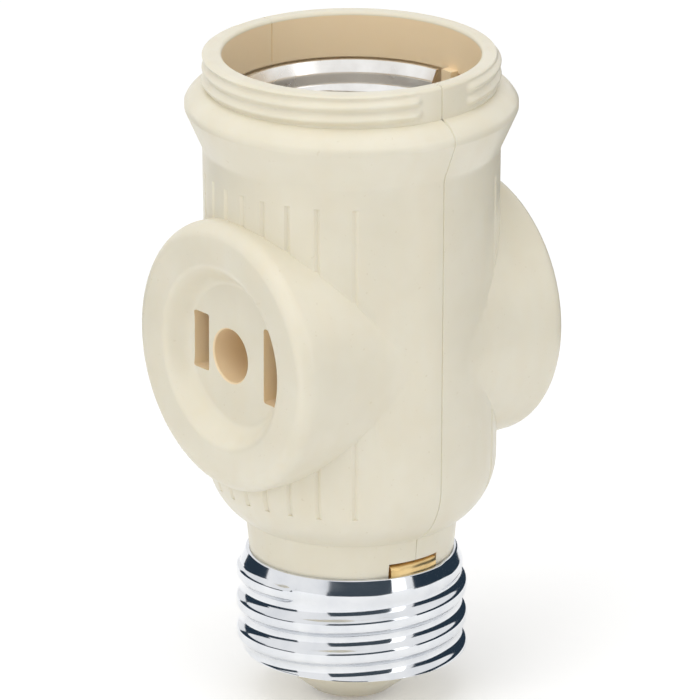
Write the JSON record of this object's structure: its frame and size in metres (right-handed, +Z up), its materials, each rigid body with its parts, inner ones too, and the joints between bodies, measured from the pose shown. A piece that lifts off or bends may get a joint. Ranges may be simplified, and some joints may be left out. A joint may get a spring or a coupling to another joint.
{
  "type": "keyless lamp holder",
  "caption": "Keyless lamp holder with a screw base, a lamp socket on the same axis and a two-slot outlet on each side.",
  "frame": {"origin": "on the lamp axis, at the lowest point of the base contact", "axes": "+Z up the lamp axis from the base contact to the rim; outlets face -Y and +Y; neutral side +X, line side -X"},
  "size_m": [0.0376, 0.0376, 0.0763],
  "materials": {
    "housing": "ivory moulded urea, satin gloss",
    "base_shell": "bright nickel plate on rolled brass",
    "lamp_shell": "drawn and rolled aluminium, satin",
    "contact_metal": "stamped and folded brass sheet",
    "rivet": "headed brass"
  },
  "bodies": {
    "root": {"body_half_front": "housing", "body_half_rear": "housing", "base_screw_shell": "base_shell", "base_contact": "contact_metal", "lamp_screw_shell": "lamp_shell", "lamp_centre_contact": "contact_metal", "lamp_contact_rivet": "rivet", "lamp_shell_rivet": "rivet", "neutral_strip": "contact_metal", "line_strip": "contact_metal", "front_line_clip": "contact_metal", "front_neutral_clip": "contact_metal", "rear_line_clip": "contact_metal", "rear_neutral_clip": "contact_metal", "front_line_clip_rivet": "rivet", "front_neutral_clip_rivet": "rivet", "rear_line_clip_rivet": "rivet", "rear_neutral_clip_rivet": "rivet", "body_rivet": "rivet"}
  },
  "joints": []
}
